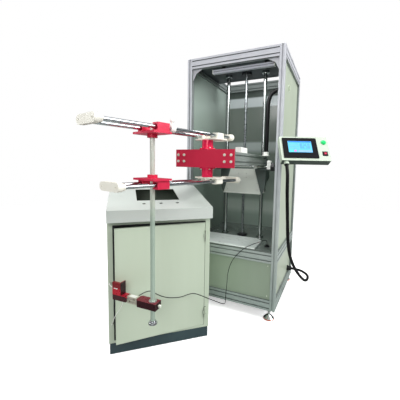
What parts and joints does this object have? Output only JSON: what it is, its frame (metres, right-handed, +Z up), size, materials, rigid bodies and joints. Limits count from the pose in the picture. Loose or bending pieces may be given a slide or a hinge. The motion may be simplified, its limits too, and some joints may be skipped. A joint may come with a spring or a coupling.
{
  "type": "drawer fatigue tester",
  "caption": "Cabinet with a screw-driven lift carriage, swinging twin-rod arms and a pulling gripper, beside a desk-top console.",
  "frame": {"origin": "middle of the base of the whole set without its loose cords, on the floor", "axes": "+Z up, +X to the cabinet's right seen from its open front, +Y from the open front to the back"},
  "size_m": [1.4609, 1.9913, 2],
  "materials": {
    "clear_anodised": "clear anodised extruded aluminium",
    "coated_panel": "composite panel coated pale grey-green",
    "chrome_steel": "ground and chromed steel",
    "orange_rubber": "orange non-slip rubber",
    "shelf_grey": "satin grey painted steel plate",
    "bright_steel": "brushed stainless sheet",
    "roof_black": "matt black painted aluminium plate",
    "lamp_white": "white lamp body and lens",
    "black_steel": "black oxide steel",
    "motor_black": "black painted motor",
    "electrics_grey": "grey control gear on a steel plate",
    "black_plastic": "black moulded plastic",
    "screw_steel": "rolled steel screw",
    "light_plate": "light grey painted steel plate",
    "dark_green": "dark green hammered paint",
    "bearing_alloy": "machined aluminium housings",
    "white_plastic": "white acetal",
    "red_anodised": "crimson anodised aluminium",
    "dark_red": "dark red anodised aluminium",
    "ivory": "ivory acetal",
    "steel_bolts": "zinc plated screws",
    "cell_steel": "nickel plated load cell",
    "box_grey": "pale grey-green painted box",
    "bezel_black": "black touch panel frame",
    "screen_blue": "lit touch screen",
    "button_green": "green push button",
    "switch_red": "red square switch",
    "console_grey": "pale grey-green textured powder coat",
    "plinth_slate": "dark slate powder coat",
    "cable_black": "black cable sheath",
    "string_white": "white braided string"
  },
  "bodies": {
    "cabinet": {"frame_profiles": "clear_anodised", "side_panels": "coated_panel", "rear_panels": "coated_panel", "lower_front_panel": "coated_panel", "panel_screws": "steel_bolts", "levelling_feet": "chrome_steel", "foot_pads": "orange_rubber", "shelf_base_plate": "shelf_grey", "shelf_cover_plate": "bright_steel", "top_plate": "roof_black", "lamp_bar": "lamp_white", "guide_rods": "chrome_steel", "screw_bearings": "black_steel", "lift_motor": "motor_black", "electrics_plate": "electrics_grey", "cable_glands": "black_plastic", "hmi_bracket": "box_grey", "console_plinth": "plinth_slate", "console_body": "console_grey", "console_top": "console_grey", "sensor_cable": "cable_black", "hmi_hose": "cable_black", "carriage_hose": "cable_black"},
    "screw": {"lead_screw": "screw_steel"},
    "carriage": {"carriage_plate": "light_plate", "carriage_body": "dark_green", "lift_bearings": "bearing_alloy", "feed_beams": "clear_anodised", "shaft_bearings": "white_plastic", "feed_motor": "motor_black", "beam_fittings": "white_plastic"},
    "shaft": {"cross_shaft": "chrome_steel", "feed_handwheel": "black_plastic"},
    "feed": {"feed_rams": "bearing_alloy", "front_plate": "red_anodised", "arm_posts": "red_anodised", "plate_bolts": "steel_bolts"},
    "upper_arm": {"upper_arm_rods": "chrome_steel", "upper_arm_blocks": "ivory"},
    "lower_arm": {"lower_arm_rods": "chrome_steel", "lower_arm_blocks": "ivory"},
    "upper_slider_body": {"upper_slider": "red_anodised"},
    "lower_slider_body": {"lower_slider": "red_anodised"},
    "drop": {"drop_rod": "chrome_steel"},
    "bush": {"clamp_bush": "bearing_alloy"},
    "clamp": {"rod_clamp": "dark_red", "load_cell": "cell_steel", "gripper_block": "red_anodised"},
    "thumb": {"clamp_screw": "steel_bolts"},
    "jaw": {"gripper_jaw": "red_anodised", "tie_strings": "string_white"},
    "collar": {"stop_collar": "white_plastic"},
    "knob": {"stop_knob": "white_plastic"},
    "box_arm": {"hmi_arm": "box_grey"},
    "box": {"hmi_housing": "box_grey", "hmi_bezel": "bezel_black", "hmi_screen": "screen_blue"},
    "button": {"start_button": "button_green"},
    "switch": {"power_switch": "switch_red"},
    "door": {"console_door": "console_grey"}
  },
  "joints": [
    {"name": "carriage_lift", "type": "slide", "parent": "cabinet", "child": "carriage", "axis": [0, 0, 1], "range_m": [-0.05, 0.5], "deforming": ["sensor_cable", "carriage_hose", "tie_strings"]},
    {"name": "screw_spin", "type": "hinge", "parent": "cabinet", "child": "screw", "pos_m": [0.01931, 0.51569, 0.527], "axis": [0, 0, 1], "continuous": true},
    {"name": "feed_slide", "type": "slide", "parent": "carriage", "child": "feed", "axis": [0, -1, 0], "range_m": [0, 0.25], "deforming": ["sensor_cable", "tie_strings"]},
    {"name": "shaft_spin", "type": "hinge", "parent": "carriage", "child": "shaft", "pos_m": [0.01931, 0.42069, 1.152], "axis": [1, 0, 0], "continuous": true},
    {"name": "upper_swivel", "type": "hinge", "parent": "feed", "child": "upper_arm", "pos_m": [0.01931, -0.23031, 1.318], "axis": [0, 0, 1], "range_deg": [0, 60], "deforming": ["sensor_cable", "tie_strings"]},
    {"name": "lower_swivel", "type": "hinge", "parent": "feed", "child": "lower_arm", "pos_m": [0.01931, -0.23031, 1.085], "axis": [0, 0, 1], "range_deg": [0, 60]},
    {"name": "upper_slide", "type": "slide", "parent": "upper_arm", "child": "upper_slider_body", "axis": [-0.2453, -0.9694, 0], "range_m": [0, 0.15], "deforming": ["sensor_cable", "tie_strings"]},
    {"name": "lower_slide", "type": "slide", "parent": "lower_arm", "child": "lower_slider_body", "axis": [-0.2453, -0.9694, 0], "range_m": [0, 0.15]},
    {"name": "drop_slide", "type": "slide", "parent": "upper_slider_body", "child": "drop", "axis": [0, 0, 1], "range_m": [0, 0.25], "deforming": ["sensor_cable", "tie_strings"]},
    {"name": "clamp_slide", "type": "slide", "parent": "drop", "child": "bush", "axis": [0, 0, 1], "range_m": [-0.05, 0.3], "deforming": ["sensor_cable", "tie_strings"]},
    {"name": "clamp_turn", "type": "hinge", "parent": "bush", "child": "clamp", "pos_m": [-0.08667, -0.64911, 0.413], "axis": [0, 0, 1], "range_deg": [0, 90], "deforming": ["sensor_cable", "tie_strings"]},
    {"name": "clamp_screw_spin", "type": "hinge", "parent": "clamp", "child": "thumb", "pos_m": [-0.05273, -0.64704, 0.413], "axis": [-0.9981, -0.061, 0], "continuous": true},
    {"name": "jaw_slide", "type": "slide", "parent": "clamp", "child": "jaw", "axis": [-0.9981, -0.061, 0], "range_m": [-0.014, 0], "deforming": ["tie_strings"]},
    {"name": "collar_slide", "type": "slide", "parent": "upper_arm", "child": "collar", "axis": [-0.2453, -0.9694, 0], "range_m": [-0.1, 0]},
    {"name": "knob_spin", "type": "hinge", "parent": "collar", "child": "knob", "pos_m": [-0.00961, -0.58918, 1.3433], "axis": [0, 0, 1], "continuous": true},
    {"name": "box_swivel", "type": "hinge", "parent": "cabinet", "child": "box_arm", "pos_m": [0.43431, 0.18569, 1.24124], "axis": [0, 0, 1], "range_deg": [-20, 25], "deforming": ["hmi_hose"]},
    {"name": "box_tilt", "type": "hinge", "parent": "box_arm", "child": "box", "pos_m": [0.54014, 0.15404, 1.24124], "axis": [0.9041, 0.4274, 0], "range_deg": [-15, 20], "deforming": ["hmi_hose"]},
    {"name": "start_press", "type": "slide", "parent": "box", "child": "button", "axis": [-0.3584, 0.7582, -0.5446], "range_m": [0, 0.004], "stiffness_N_per_m": 900, "springref_m": -0.001},
    {"name": "switch_press", "type": "slide", "parent": "box", "child": "switch", "axis": [-0.3584, 0.7582, -0.5446], "range_m": [0, 0.003], "stiffness_N_per_m": 900, "springref_m": -0.001},
    {"name": "door_hinge", "type": "hinge", "parent": "cabinet", "child": "door", "pos_m": [0.01797, -0.23193, 0.4], "axis": [0, 0, 1], "range_deg": [-5.2, 0.5]}
  ],
  "couplings": [
    {"joint": "screw_spin", "follows": "carriage_lift", "rad_per_m": -314.16},
    {"joint": "shaft_spin", "follows": "feed_slide", "rad_per_m": 83.333},
    {"joint": "lower_swivel", "follows": "upper_swivel", "ratio": 1},
    {"joint": "lower_slide", "follows": "upper_slide", "ratio": 1}
  ]
}
